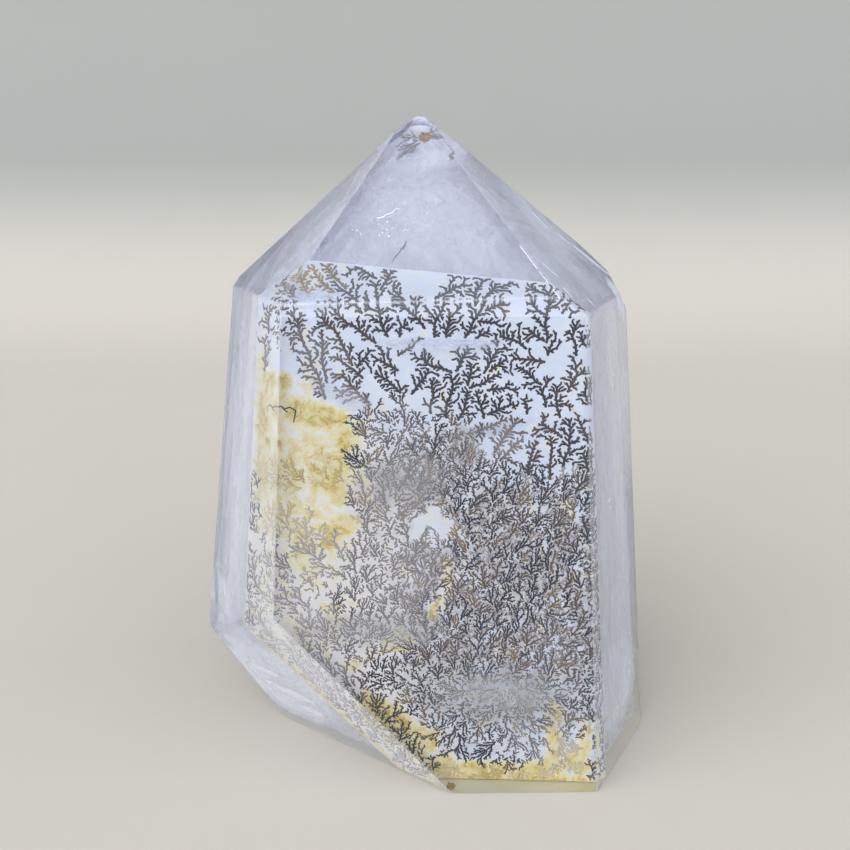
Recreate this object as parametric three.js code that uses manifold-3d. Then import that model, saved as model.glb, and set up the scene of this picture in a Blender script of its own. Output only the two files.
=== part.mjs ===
// A dendritic quartz point: a polished six-sided crystal that stands on its cut base, parted along the
// healed fracture in which its dark, branching dendrites grew. Millimetres, +Z up, the wide front face
// towards -Y. The origin is the middle of the crystal's outline, at the level it stands on.

import * as THREE from 'three';
import { ConvexGeometry } from 'three/addons/geometries/ConvexGeometry.js';
import * as BufferGeometryUtils from 'three/addons/utils/BufferGeometryUtils.js';
import Module from 'manifold-3d';

const wasm = await Module();
wasm.setup();

// The facets are flat cuts around the heart of the crystal, a point on its axis at this height.
const HEART_HEIGHT = 30;
const HEART = new THREE.Vector3(0, 0, HEART_HEIGHT);

// Each facet: turn is how far it looks round from the front, in degrees, positive to the right;
// rise is how far it looks up; reach is its distance from the heart, in millimetres.
const PRISM = [
  { name: 'front', turn: 1, rise: 5.3, reach: 13.4 },
  { name: 'left', turn: -52, rise: 6, reach: 19.8 },
  { name: 'right', turn: 58, rise: 5.8, reach: 20.6 },
  { name: 'back_left', turn: -119, rise: 7, reach: 17.2 },
  { name: 'back_right', turn: 119, rise: 4, reach: 18 },
  { name: 'back', turn: 180, rise: 4, reach: 13 },
];
const POINT = [
  { name: 'tip_front', turn: 0, rise: 41, reach: 22.5 },
  { name: 'tip_left', turn: -50, rise: 47.5, reach: 27.4 },
  { name: 'tip_right', turn: 53, rise: 49.3, reach: 27.2 },
  { name: 'tip_back_left', turn: -116, rise: 41, reach: 26 },
  { name: 'tip_back_right', turn: 118, rise: 45, reach: 27.4 },
  { name: 'tip_back', turn: 180, rise: 49, reach: 29.9 },
];
// The foot: the level base, and the broad slanting cut that takes away the lower left corner.
const FOOT = [
  { name: 'base', turn: 0, rise: -90, reach: HEART_HEIGHT },
  { name: 'slant', turn: -34, rise: -24, reach: 23 },
  { name: 'heel', turn: -108, rise: -33, reach: 30.4 },
];
// Narrow facets that break the edges where the polisher touched them.
const BEVELS = [
  { name: 'shoulder', turn: 86, rise: 28, reach: 27 },
  { name: 'crest', turn: 86, rise: 48.5, reach: 29.1 },
  { name: 'keel', turn: -68, rise: -30, reach: 29.3 },
];
const FACETS = [...PRISM, ...POINT, ...FOOT, ...BEVELS];

// The healed fracture lies close behind the front face, nearest to it at the upper right.
const FRACTURE = { name: 'fracture', turn: -4, rise: 3.3, reach: 10.8 };
const PARTING_GAP = 0.3;

// The dendrites and the iron stain fill the fracture out to a thin clear rim.
const FILM_THICKNESS = 0.4;
const FILM_RIM = 1;
const FIT_GAP = 0.3;

const CLEAR_QUARTZ = { color: 0xccd0e0, roughness: 0.08, metalness: 0 };
const DENDRITE_BROWN = { color: 0x4a3834, roughness: 0.7, metalness: 0 };

const NEAR_ZERO = 1e-6;

// A half-space is every point p with normal . p <= limit.
function halfSpace({ turn, rise, reach }) {
  const round = THREE.MathUtils.degToRad(turn);
  const up = THREE.MathUtils.degToRad(rise);
  const normal = new THREE.Vector3(
    Math.sin(round) * Math.cos(up),
    -Math.cos(round) * Math.cos(up),
    Math.sin(up),
  );
  return { normal, limit: normal.dot(HEART) + reach };
}

// The side of a cut that looks away from it, kept back from it by the clearance.
function behind(cut, clearance) {
  const { normal, limit } = halfSpace(cut);
  return { normal: normal.clone().negate(), limit: -(limit + clearance) };
}

// The same facets, each moved towards the heart.
function inset(facets, distance) {
  return facets.map((facet) => halfSpace({ ...facet, reach: facet.reach - distance }));
}

// The point where three planes meet, or null where they don't meet in one point.
function meetingPoint(a, b, c) {
  const bc = new THREE.Vector3().crossVectors(b.normal, c.normal);
  const volume = a.normal.dot(bc);
  if (Math.abs(volume) < NEAR_ZERO) {
    return null;
  }
  const ca = new THREE.Vector3().crossVectors(c.normal, a.normal);
  const ab = new THREE.Vector3().crossVectors(a.normal, b.normal);
  return bc
    .multiplyScalar(a.limit)
    .addScaledVector(ca, b.limit)
    .addScaledVector(ab, c.limit)
    .divideScalar(volume);
}

// The corners of the solid that lies inside every half-space.
function cornersInside(spaces) {
  const corners = [];
  for (let i = 0; i < spaces.length; i += 1) {
    for (let j = i + 1; j < spaces.length; j += 1) {
      for (let k = j + 1; k < spaces.length; k += 1) {
        const corner = meetingPoint(spaces[i], spaces[j], spaces[k]);
        if (corner && spaces.every((space) => space.normal.dot(corner) <= space.limit + NEAR_ZERO)) {
          corners.push(corner);
        }
      }
    }
  }
  return corners;
}

function flatFacedSolid(spaces) {
  return new ConvexGeometry(cornersInside(spaces));
}

function toManifold(geometry) {
  const bare = geometry.clone();
  bare.deleteAttribute('normal');
  bare.deleteAttribute('uv');
  const merged = BufferGeometryUtils.mergeVertices(bare, 1e-4);
  return new wasm.Manifold(new wasm.Mesh({
    numProp: 3,
    vertProperties: new Float32Array(merged.attributes.position.array),
    triVerts: new Uint32Array(merged.index.array),
  }));
}

function toGeometry(solid) {
  const { vertProperties, triVerts } = solid.getMesh();
  const geometry = new THREE.BufferGeometry();
  geometry.setAttribute('position', new THREE.BufferAttribute(vertProperties, 3));
  geometry.setIndex(new THREE.BufferAttribute(triVerts, 1));
  geometry.computeVertexNormals();
  return geometry;
}

// The whole crystal's outline, which gives the place of the origin.
function middleOfBase() {
  const outline = new THREE.Box3().setFromPoints(cornersInside(FACETS.map(halfSpace)));
  const middle = outline.getCenter(new THREE.Vector3());
  return new THREE.Vector3(middle.x, middle.y, outline.min.z);
}

// The clear slab between the front face and the fracture.
function quartzFront() {
  return flatFacedSolid([...FACETS.map(halfSpace), behind(FRACTURE, PARTING_GAP / 2)]);
}

// The body of the crystal behind the fracture, with the shallow pocket that holds the film.
function quartzBack() {
  const face = halfSpace({ ...FRACTURE, reach: FRACTURE.reach - PARTING_GAP / 2 });
  const body = flatFacedSolid([...FACETS.map(halfSpace), face]);
  const pocketDepth = FILM_THICKNESS + FIT_GAP;
  const pocket = flatFacedSolid([
    ...inset(FACETS, FILM_RIM),
    halfSpace({ ...FRACTURE, reach: FRACTURE.reach + FIT_GAP }),
    behind(FRACTURE, -PARTING_GAP / 2 - pocketDepth),
  ]);
  return toGeometry(toManifold(body).subtract(toManifold(pocket)));
}

// The film of dendrites and iron stain that lies in the pocket.
function dendriteFilm() {
  return flatFacedSolid([
    ...inset(FACETS, FILM_RIM + FIT_GAP),
    halfSpace({ ...FRACTURE, reach: FRACTURE.reach - PARTING_GAP / 2 }),
    behind(FRACTURE, -PARTING_GAP / 2 - FILM_THICKNESS),
  ]);
}

function piece(name, geometry, look) {
  const mesh = new THREE.Mesh(geometry, new THREE.MeshStandardMaterial(look));
  mesh.name = name;
  return mesh;
}

const point = new THREE.Group();
point.add(piece('quartz_front', quartzFront(), CLEAR_QUARTZ));
point.add(piece('quartz_back', quartzBack(), CLEAR_QUARTZ));
point.add(piece('dendrite_film', dendriteFilm(), DENDRITE_BROWN));
point.position.copy(middleOfBase()).negate();

export default point;
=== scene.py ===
import math
import random

import bmesh
import bpy
from mathutils import Euler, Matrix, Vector, noise


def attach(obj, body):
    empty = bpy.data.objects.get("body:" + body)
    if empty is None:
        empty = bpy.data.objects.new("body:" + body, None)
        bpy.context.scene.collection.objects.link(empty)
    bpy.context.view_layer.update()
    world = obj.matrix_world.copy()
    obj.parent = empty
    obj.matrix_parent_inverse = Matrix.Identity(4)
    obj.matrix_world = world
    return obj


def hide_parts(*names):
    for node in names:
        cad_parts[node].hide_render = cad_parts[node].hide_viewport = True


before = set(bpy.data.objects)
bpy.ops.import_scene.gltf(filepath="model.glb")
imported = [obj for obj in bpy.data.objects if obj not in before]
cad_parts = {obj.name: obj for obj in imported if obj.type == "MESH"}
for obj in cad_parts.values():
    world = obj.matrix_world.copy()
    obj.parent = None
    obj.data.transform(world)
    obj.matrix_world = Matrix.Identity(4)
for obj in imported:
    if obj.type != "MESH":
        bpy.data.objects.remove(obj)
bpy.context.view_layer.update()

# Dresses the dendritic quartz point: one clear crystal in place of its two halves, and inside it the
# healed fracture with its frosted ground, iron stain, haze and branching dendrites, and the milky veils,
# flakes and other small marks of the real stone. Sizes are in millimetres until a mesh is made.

MM = 0.001
BODY = "root"

# The camera stands at the height of the crystal's tip and looks down at its foot.
CAMERA_PLACE = (-0.5, -93.1, 66.0)
CAMERA_TILT_DOWN = 18.15
PICTURE_SIDE = 850
FOCAL_PIXELS = 900
SENSOR_WIDTH = 36.0

QUARTZ_IOR = 1.544


def mm(point):
    """A place in metres from one in millimetres."""
    return Vector(point) * MM


# Meshes and pieces


def new_piece(name, vertices, faces, material, replaced=()):
    """A mesh piece of the crystal, from places in millimetres."""
    mesh = bpy.data.meshes.new(name)
    mesh.from_pydata([mm(v) for v in vertices], [], faces)
    mesh.update()
    return finish_piece(mesh, name, material, replaced)


def finish_piece(mesh, name, material, replaced=()):
    piece = bpy.data.objects.new(name, mesh)
    bpy.context.scene.collection.objects.link(piece)
    mesh.materials.append(material)
    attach(piece, BODY)
    if replaced:
        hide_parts(*replaced)
    return piece


def mesh_of(build, name):
    """The finished mesh of a form being built."""
    mesh = bpy.data.meshes.new(name)
    build.to_mesh(mesh)
    build.free()
    return mesh


def cut_away(build, place, outward):
    """Takes away what lies beyond a plane; returns the edges of the cut."""
    parts = build.verts[:] + build.edges[:] + build.faces[:]
    cut = bmesh.ops.bisect_plane(build, geom=parts, plane_co=place, plane_no=outward,
                                 clear_outer=True, dist=1e-7)
    return [part for part in cut["geom_cut"] if isinstance(part, bmesh.types.BMEdge)]


def clamped(value, low=0.0, high=1.0):
    return min(high, max(low, value))


def ripple(u, v, fineness, seed):
    """Smooth noise over a sheet, between about minus one half and one half."""
    return noise.noise(Vector((u * fineness, v * fineness, seed)))


def write_values(mesh, name, values):
    """Keeps one number for each vertex, for a material to read."""
    layer = mesh.attributes.new(name, "FLOAT", "POINT")
    layer.data.foreach_set("value", values)


def write_places(mesh, name, places):
    """Keeps one place for each vertex, for a material to read."""
    layer = mesh.attributes.new(name, "FLOAT_VECTOR", "POINT")
    layer.data.foreach_set("vector", [number for place in places for number in place])


# Materials


class Nodes:
    """A node tree being built, with short ways to add and join its nodes."""

    def __init__(self, tree):
        self.tree = tree

    def add(self, kind, **values):
        node = self.tree.nodes.new(kind)
        for key, value in values.items():
            if hasattr(node, key):
                setattr(node, key, value)
            else:
                node.inputs[key.replace("_", " ")].default_value = value
        return node

    def join(self, source, target):
        self.tree.links.new(source, target)

    def feed(self, value, socket):
        """Gives a socket a number, a colour or another node's result."""
        if isinstance(value, (int, float)):
            socket.default_value = value
        elif isinstance(value, tuple):
            socket.default_value = (*value, 1.0)
        else:
            self.join(value, socket)

    def places(self):
        return self.add("ShaderNodeTexCoord").outputs["Object"]

    def noise(self, scale, detail=3.0, roughness=0.5, distortion=0.0, places=None):
        node = self.add("ShaderNodeTexNoise", Scale=scale, Detail=detail, Roughness=roughness,
                        Distortion=distortion)
        self.join(places or self.places(), node.inputs["Vector"])
        return node.outputs["Fac"]

    def value_of(self, name):
        return self.add("ShaderNodeAttribute", attribute_name=name).outputs["Fac"]

    def math(self, operation, *values):
        node = self.add("ShaderNodeMath", operation=operation)
        for value, socket in zip(values, node.inputs):
            self.feed(value, socket)
        return node.outputs[0]

    def stretch(self, value, low, high, to_low=0.0, to_high=1.0):
        node = self.add("ShaderNodeMapRange", interpolation_type="SMOOTHSTEP", From_Min=low, From_Max=high,
                        To_Min=to_low, To_Max=to_high)
        self.join(value, node.inputs["Value"])
        return node.outputs["Result"]

    def mix(self, amount, first, second):
        node = self.add("ShaderNodeMix", data_type="RGBA")
        self.feed(amount, node.inputs["Factor"])
        self.feed(first, node.inputs[6])
        self.feed(second, node.inputs[7])
        return node.outputs[2]

    def ramp(self, value, stops):
        node = self.add("ShaderNodeValToRGB")
        elements = node.color_ramp.elements
        while len(elements) < len(stops):
            elements.new(1.0)
        for element, (place, colour) in zip(elements, stops):
            element.position = place
            element.color = (*colour, 1.0)
        self.join(value, node.inputs["Fac"])
        return node.outputs["Color"]


class Shader(Nodes):
    """A node material being built on one surface shader."""

    def __init__(self, name):
        self.material = bpy.data.materials.new(name)
        self.material.use_nodes = True
        super().__init__(self.material.node_tree)
        self.surface = self.tree.nodes["Principled BSDF"]

    def set(self, **values):
        for key, value in values.items():
            self.surface.inputs[key.replace("_", " ")].default_value = value

    def colour(self, source):
        self.join(source, self.surface.inputs["Base Color"])

    def bump(self, height, strength, distance):
        node = self.add("ShaderNodeBump", Strength=strength, Distance=distance)
        self.join(height, node.inputs["Height"])
        self.join(node.outputs["Normal"], self.surface.inputs["Normal"])


def quartz_material(name, milkiness):
    """Polished quartz with a faint lavender cast; the milky part of it scatters the light."""
    shader = Shader(name)
    shader.set(Base_Color=(0.93, 0.95, 1.0, 1.0), Transmission_Weight=1.0 - milkiness,
               IOR=QUARTZ_IOR, Roughness=0.0)
    absorb = shader.add("ShaderNodeVolumeAbsorption", Color=(0.80, 0.81, 0.93, 1.0), Density=5.0)
    output = shader.tree.nodes["Material Output"]
    shader.join(absorb.outputs["Volume"], output.inputs["Volume"])
    return shader.material


def sawn_material():
    """The ground base, frosted by the saw and tinged with iron."""
    shader = Shader("sawn_quartz")
    grain = shader.noise(1800, detail=5, roughness=0.7)
    patch = shader.stretch(shader.noise(220, detail=4, distortion=0.6), 0.35, 0.65)
    clean = shader.mix(grain, (0.97, 0.90, 0.60), (0.98, 0.94, 0.72))
    stained = shader.mix(grain, (0.96, 0.84, 0.40), (0.98, 0.90, 0.55))
    shader.colour(shader.mix(patch, clean, stained))
    shader.set(Roughness=0.7, IOR=QUARTZ_IOR, Transmission_Weight=0.1)
    shader.bump(grain, 0.5, 0.00005)
    return shader.material


def dendrite_material():
    """Manganese and iron oxide: near black where thick, golden where it turns to rust, pale under haze."""
    shader = Shader("dendrite_oxide")
    shade = shader.math("ADD", shader.value_of("tone"), shader.math(
        "MULTIPLY", shader.math("SUBTRACT", shader.noise(900, detail=3), 0.5), 0.2))
    oxide = shader.ramp(shade, [
        (0.0, (0.005, 0.006, 0.024)),
        (0.25, (0.015, 0.014, 0.032)),
        (0.45, (0.10, 0.062, 0.048)),
        (0.65, (0.27, 0.18, 0.06)),
        (0.82, (0.56, 0.42, 0.13)),
        (1.0, (0.80, 0.70, 0.42)),
    ])
    shader.colour(shader.mix(shader.value_of("pale"), oxide, (0.50, 0.47, 0.45)))
    shader.set(Roughness=0.6, Specular_IOR_Level=0.05)
    shader.bump(shader.noise(4000, detail=2), 0.4, 0.00004)
    return shader.material


def ground_material():
    """The healed fracture: a frosted, bluish white film, stained yellow where iron crept in."""
    shader = Shader("fracture_ground")
    cloud = shader.noise(260, detail=5, roughness=0.6, distortion=0.4)
    frost = shader.mix(shader.stretch(cloud, 0.3, 0.7), (0.80, 0.88, 1.0), (0.90, 0.95, 1.0))
    mottle = shader.noise(1700, detail=5, roughness=0.75, distortion=0.8)
    deep = shader.mix(shader.stretch(mottle, 0.40, 0.62), (0.42, 0.35, 0.33), (0.74, 0.70, 0.69))
    warm_frost = shader.mix(shader.value_of("warm"), frost, (0.96, 0.92, 0.86))
    grey = shader.mix(shader.value_of("grey"), warm_frost, deep)
    broad = shader.math("SUBTRACT", shader.noise(520, detail=4, roughness=0.6, distortion=1.4), 0.5)
    feather = shader.math("SUBTRACT", shader.noise(2600, detail=5, roughness=0.7, distortion=2.0), 0.5)
    strength = shader.math("ADD", shader.value_of("stain"), shader.math("MULTIPLY", broad, 1.9))
    strength = shader.math("ADD", strength, shader.math("MULTIPLY", feather, 0.9))
    iron = shader.ramp(strength, [
        (0.2, (0.96, 0.94, 0.84)),
        (0.45, (0.94, 0.87, 0.58)),
        (0.7, (0.89, 0.77, 0.34)),
        (0.9, (0.79, 0.62, 0.17)),
        (1.0, (0.60, 0.41, 0.07)),
    ])
    shader.colour(shader.mix(shader.stretch(strength, 0.05, 0.45), grey, iron))
    shader.join(shader.value_of("cover"), shader.surface.inputs["Alpha"])
    shader.set(Roughness=0.45)
    shader.bump(shader.noise(700, detail=5), 0.25, 0.0001)
    return shader.material


def haze_material():
    """Thin greyish breath between the front face and the dendrites."""
    shader = Shader("fracture_haze")
    cloud = shader.noise(420, detail=5, roughness=0.62, distortion=0.5)
    thin = shader.math("MULTIPLY", shader.value_of("cover"), shader.stretch(cloud, 0.3, 0.7, 0.5, 1.0))
    shader.join(thin, shader.surface.inputs["Alpha"])
    shader.colour(shader.mix(shader.value_of("grey"), (0.76, 0.80, 0.93), (0.50, 0.49, 0.48)))
    shader.set(Roughness=0.6)
    return shader.material


def veil_material():
    """Milky wisps of tiny bubbles inside the quartz, drawn out along each veil; the dark veils are grey, and
    on the right face and its slope that grey is painted shade.
    """
    shader = Shader("milky_veil")
    flow = shader.add("ShaderNodeAttribute", attribute_name="flow").outputs["Vector"]
    broad = shader.stretch(shader.noise(0.32, detail=4, roughness=0.6, distortion=0.8, places=flow),
                           0.30, 0.70, 0.5, 1.0)
    fine = shader.stretch(shader.noise(2.2, detail=4, roughness=0.6, places=flow), 0.3, 0.7, 0.8, 1.0)
    cover = shader.math("MULTIPLY", shader.math("MULTIPLY", broad, fine), shader.value_of("cover"))
    shader.join(cover, shader.surface.inputs["Alpha"])
    # Grey for the veils marked dark; on the right face and its slope this grey is painted shade.
    shader.colour(shader.mix(shader.value_of("dark"), (0.90, 0.915, 0.99), (0.30, 0.31, 0.38)))
    shader.set(Roughness=0.5)
    return shader.material


def rust_material():
    """Grains of iron oxide, golden brown with dark olive between them."""
    shader = Shader("rust_spot")
    grain = shader.noise(5200, detail=3, roughness=0.7)
    shader.colour(shader.ramp(grain, [
        (0.36, (0.020, 0.016, 0.004)),
        (0.47, (0.19, 0.085, 0.003)),
        (0.6, (0.40, 0.19, 0.006)),
        (0.78, (0.62, 0.34, 0.02)),
    ]))
    shader.set(Roughness=0.6)
    return shader.material


def glowing_glint_material():
    """Painted highlights: glints of tiny cracks, which glow faintly white though they are no lamp."""
    shader = Shader("glowing_glint_flake")
    shader.colour(shader.mix(shader.noise(800), (0.95, 0.96, 1.0), (1.0, 1.0, 1.0)))
    # Painted highlight: a faint white glow in place of the light that the cracks catch.
    shader.set(Roughness=0.3, Emission_Color=(1.0, 1.0, 1.0, 1.0), Emission_Strength=0.5)
    return shader.material


# The crystal itself


def outer_hull():
    """The whole crystal's outside, from the corners of its two halves."""
    build = bmesh.new()
    for node in ("quartz_front", "quartz_back"):
        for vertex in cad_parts[node].data.vertices:
            ahead = FRACTURE.out.dot(vertex.co / MM - FRACTURE.start)
            if not PARTING_BACK < ahead < PARTING_FRONT:
                build.verts.new(vertex.co)
    bmesh.ops.remove_doubles(build, verts=build.verts, dist=0.02 * MM)
    made = bmesh.ops.convex_hull(build, input=build.verts)
    spare = [g for g in made["geom_interior"] + made["geom_unused"] if isinstance(g, bmesh.types.BMVert)]
    bmesh.ops.delete(build, geom=list(set(spare)), context="VERTS")
    bmesh.ops.dissolve_limit(build, angle_limit=math.radians(0.6), verts=build.verts, edges=build.edges)
    bmesh.ops.recalc_face_normals(build, faces=build.faces)
    return build


def facet_planes(hull):
    """Each facet's outward direction and its distance from the origin in that direction."""
    return [(f.normal.copy(), f.normal.dot(f.calc_center_median()) / MM) for f in hull.faces]


def make_quartz(hull):
    """The clear crystal, its edges rounded a little as polishing leaves them, on its sawn base."""
    facets = len(hull.faces)
    bmesh.ops.bevel(hull, geom=list(hull.edges), offset=EDGE_ROUNDING * MM, segments=2,
                    profile=0.6, affect="EDGES", clamp_overlap=True)
    largest = sorted((face.calc_area() for face in hull.faces), reverse=True)[:facets]
    for face in hull.faces:
        if face.normal.z < -0.9:
            face.material_index = len(QUARTZ_LOOKS)
        elif face.calc_area() < largest[-1]:
            face.material_index = EDGE
        else:
            face.material_index = facet_look(face.normal)
    mesh = mesh_of(hull, "quartz_crystal")
    looks = [quartz_material(name, milkiness) for name, milkiness in QUARTZ_LOOKS]
    finish_piece(mesh, "quartz_crystal", looks[0], ("quartz_front", "quartz_back"))
    for look in looks[1:]:
        mesh.materials.append(look)
    mesh.materials.append(sawn_material())


def facet_look(normal):
    """Which look a facet has: clearest in the window, cloudy in front of the tip, frosty at the foot."""
    faces_front = normal.y < -0.7 and abs(normal.x) < 0.15
    if faces_front and normal.z < 0.3:
        return WINDOW
    if normal.z < -0.3:
        return FROSTY
    if normal.y < -0.7 and normal.z > 0.3:
        return CLOUDY
    if normal.z > 0.3:
        return THIN
    return MILKY


# The crystal's looks, each with how milky it is; the sawn base comes after them.
QUARTZ_LOOKS = [
    ("clear_quartz", 0.02),
    ("cloudy_quartz", 0.06),
    ("milky_quartz", 0.13),
    ("thinly_milky_quartz", 0.1),
    ("frosty_quartz", 0.24),
    ("worn_edge", 0.17),
]
WINDOW, CLOUDY, MILKY, THIN, FROSTY, EDGE = range(6)


def milk_body(distance):
    """The crystal's form with every facet moved in, kept behind the fracture."""
    build = bmesh.new()
    bmesh.ops.create_cube(build, size=0.2)
    cuts = [(normal * (reach - distance), normal) for normal, reach in FACETS]
    cuts.append((FRACTURE.place(0, 0, -MILK_BEHIND_FRACTURE), FRACTURE.out))
    for place, normal in cuts:
        bmesh.ops.contextual_create(build, geom=cut_away(build, place * MM, normal))
    bmesh.ops.bevel(build, geom=list(build.edges), offset=MILK_ROUNDING * distance * MM, segments=3,
                    profile=0.5, affect="EDGES", clamp_overlap=True)
    bmesh.ops.recalc_face_normals(build, faces=build.faces)
    return build


def make_milk(material):
    """Nested shells of faint haze, which together make the body look milky from every side."""
    for number, (distance, cover) in enumerate(MILK_SHELLS):
        name = f"milk_{number + 1}"
        mesh = mesh_of(milk_body(distance), name)
        mesh.shade_smooth()
        write_values(mesh, "cover", [cover] * len(mesh.vertices))
        write_values(mesh, "dark", [0.0] * len(mesh.vertices))
        write_places(mesh, "flow", [(v.co.x / MM, v.co.y / MM, v.co.z / MM / 3 + 40 * number)
                                    for v in mesh.vertices])
        finish_piece(mesh, name, material)


# Each shell's distance below the facets, and how much it covers
MILK_SHELLS = [(1.8, 0.35), (4.2, 0.6), (7.0, 1.0)]
MILK_ROUNDING = 0.4
MILK_BEHIND_FRACTURE = 0.8


EDGE_ROUNDING = 0.12
SKIN = 0.12

# The two faces of the parting between the halves lie between these distances ahead of the fracture.
PARTING_BACK = -0.05
PARTING_FRONT = 0.35


def inside(point, margin=SKIN):
    """Whether a place in millimetres is at least the margin below every facet."""
    return all(normal.dot(point) < reach - margin for normal, reach in FACETS)


class Sheet:
    """A flat working surface inside the crystal: u to the right, v up along it, w out of it."""

    def __init__(self, start, out):
        self.out = Vector(out).normalized()
        self.right = Vector((0, 0, 1)).cross(self.out).normalized() * -1
        if self.right.x < 0:
            self.right.negate()
        self.up = self.out.cross(self.right).normalized()
        if self.up.z < 0:
            self.up.negate()
        self.start = Vector(start)

    def place(self, u, v, w=0.0):
        return self.start + self.right * u + self.up * v + self.out * w


def below_facet(point, depth):
    """A sheet under the facet that is nearest to the point, at the depth below it."""
    point = Vector(point)
    normal, reach = min(FACETS, key=lambda facet: facet[1] - facet[0].dot(point))
    return Sheet(point + normal * (reach - depth - normal.dot(point)), normal)


def fracture_sheet():
    """The fracture, read from the front of the film that the frame holds in it."""
    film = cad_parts["dendrite_film"].data
    facing = [p for p in film.polygons if p.normal.y < -0.9]
    out = Vector()
    centre = Vector()
    area = 0.0
    for polygon in facing:
        out += polygon.normal * polygon.area
        centre += polygon.center / MM * polygon.area
        area += polygon.area
    out.normalize()
    centre /= area
    start = Vector((0, out.dot(centre) / out.y, 0))
    return Sheet(start, out)


def cut_sheet(name, sheet, step, lift, material, values):
    """A fine grid on the sheet, cut to the crystal's outline, with numbers for its material."""
    low, high = SHEET_SPAN
    build = bmesh.new()
    rows = []
    count = int((high - low) / step) + 1
    for row in range(count):
        v = low + row * step
        line = []
        for column in range(count):
            u = low + column * step
            line.append(build.verts.new(mm(sheet.place(u, v, lift))))
        rows.append(line)
    for below, above in zip(rows, rows[1:]):
        for k in range(count - 1):
            build.faces.new((below[k], below[k + 1], above[k + 1], above[k]))
    for normal, reach in FACETS:
        cut_away(build, normal * (reach - SKIN) * MM, normal)
    mesh = mesh_of(build, name)
    for label, rule in values.items():
        numbers = []
        for vertex in mesh.vertices:
            offset = vertex.co / MM - sheet.start
            numbers.append(rule(offset.dot(sheet.right), offset.dot(sheet.up)))
        write_values(mesh, label, numbers)
    finish_piece(mesh, name, material)


SHEET_SPAN = (-30.0, 72.0)
GROUND_LAYER = 0.04
HAZE_LAYER = 0.14


# Soft patches on the fracture, each (u, v, half width, half height, lean in degrees, strength)

STAIN_PATCHES = [
    # the cream and yellow field on the left
    (-12.2, 33.0, 5.2, 9.5, 0, 0.52),
    (-15.9, 38.0, 1.3, 8.5, 0, 0.8),
    (-14.2, 43.0, 0.9, 0.8, 0, 0.85),
    (-11.5, 40.0, 4.4, 1.3, -17, 0.85),
    (-8.3, 37.3, 1.1, 1.7, 0, 0.85),
    (-10.2, 34.4, 2.3, 2.0, 0, 0.75),
    (-10.6, 32.3, 1.7, 0.9, 0, 0.75),
    (-13.6, 34.0, 1.4, 2.8, 0, 0.6),
    (-9.4, 28.2, 2.4, 1.3, 20, 0.75),
    (-10.3, 26.6, 0.9, 0.8, 0, 0.95),
    (-12.6, 26.0, 1.9, 1.2, 0, 0.65),
    (-12.2, 23.8, 1.4, 1.1, 0, 0.5),
    (-13.6, 20.0, 5.0, 8.0, 0, 0.3),
    # touches between the small dendrites
    (1.6, 23.4, 0.6, 2.4, -8, 0.6),
    (0.6, 20.0, 0.6, 2.0, -14, 0.65),
    (14.9, 23.5, 1.4, 0.4, 5, 0.4),
    (-10.0, 20.0, 2.6, 0.5, 0, 0.45),
    (-8.6, 13.2, 1.1, 0.8, 0, 0.6),
    (-3.2, 15.8, 1.7, 1.2, 0, 0.55),
    (13.0, 30.5, 0.8, 0.6, 0, 0.5),
    (11.2, 26.2, 0.6, 0.8, 0, 0.5),
    # above the slanting edge
    (-4.0, 6.8, 3.2, 1.7, -44, 0.85),
    (-0.9, 4.3, 1.9, 1.7, -20, 0.85),
    # along the base
    (1.5, 1.4, 2.6, 1.3, -20, 0.8),
    (4.6, 1.5, 2.0, 0.8, 0, 0.8),
    (8.6, 1.4, 2.2, 0.9, 0, 0.8),
    (12.4, 1.6, 2.6, 1.0, 0, 0.75),
    (15.6, 2.4, 1.6, 1.6, 0, 0.75),
    (8.0, 0.3, 10.0, 0.8, 0, 0.8),
    (13.0, 4.6, 0.9, 2.2, 10, 0.7),
    (12.7, 7.4, 0.8, 1.5, 0, 0.65),
    (16.2, 5.2, 0.8, 2.4, 0, 0.6),
]
GREY_PATCHES = [
    (-2.6, 33.0, 4.4, 2.6, 15, 0.85),
    (2.2, 36.4, 2.0, 2.2, 0, 0.75),
    (6.8, 10.6, 5.0, 2.2, 0, 0.55),
    (13.0, 26.0, 2.6, 4.0, 0, 0.6),
]
PALE_PATCHES = [
    (-3.4, 33.0, 4.6, 2.8, 15, 0.5),
    (-4.0, 37.8, 3.6, 2.2, 0, 0.3),
    (3.0, 37.2, 1.6, 2.0, 0, 0.2),
    (6.8, 37.2, 2.4, 1.6, 12, 0.4),
    (-4.0, 25.0, 5.0, 8.0, 0, 0.5),
    (-11.5, 25.0, 4.0, 4.0, 0, 0.8),
    (-6.0, 17.2, 6.0, 1.6, 0, 0.6),
    (-13.6, 20.0, 3.6, 6.0, 0, 0.8),
    (-11.0, 13.0, 3.0, 4.0, 0, 0.6),
    (7.6, 10.4, 4.6, 1.6, 0, 0.8),
    (12.5, 16.0, 2.2, 2.6, 0, 0.2),
    (-8.4, 41.6, 2.2, 1.0, -25, 0.45),
    (-1.8, 40.6, 3.0, 0.8, 0, 0.3),
    (-12.0, 45.0, 3.4, 3.0, 0, 0.34),
    (9.8, 6.0, 2.0, 2.4, 0, 0.4),
    (13.0, 3.5, 3.0, 3.0, 0, 0.5),
]
HAZE_PATCHES = [
    (-3.4, 33.0, 4.6, 2.4, 20, 0.25),
    (-5.0, 17.2, 6.5, 1.6, 0, 0.36),
    (7.4, 10.0, 7.0, 3.2, -3, 0.45),
    (-8.5, 41.6, 2.6, 0.8, -25, 0.3),
    (5.5, 38.6, 3.4, 0.6, 12, 0.3),
    (-11.2, 50.6, 2.0, 0.5, 0, 0.5),
]


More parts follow.
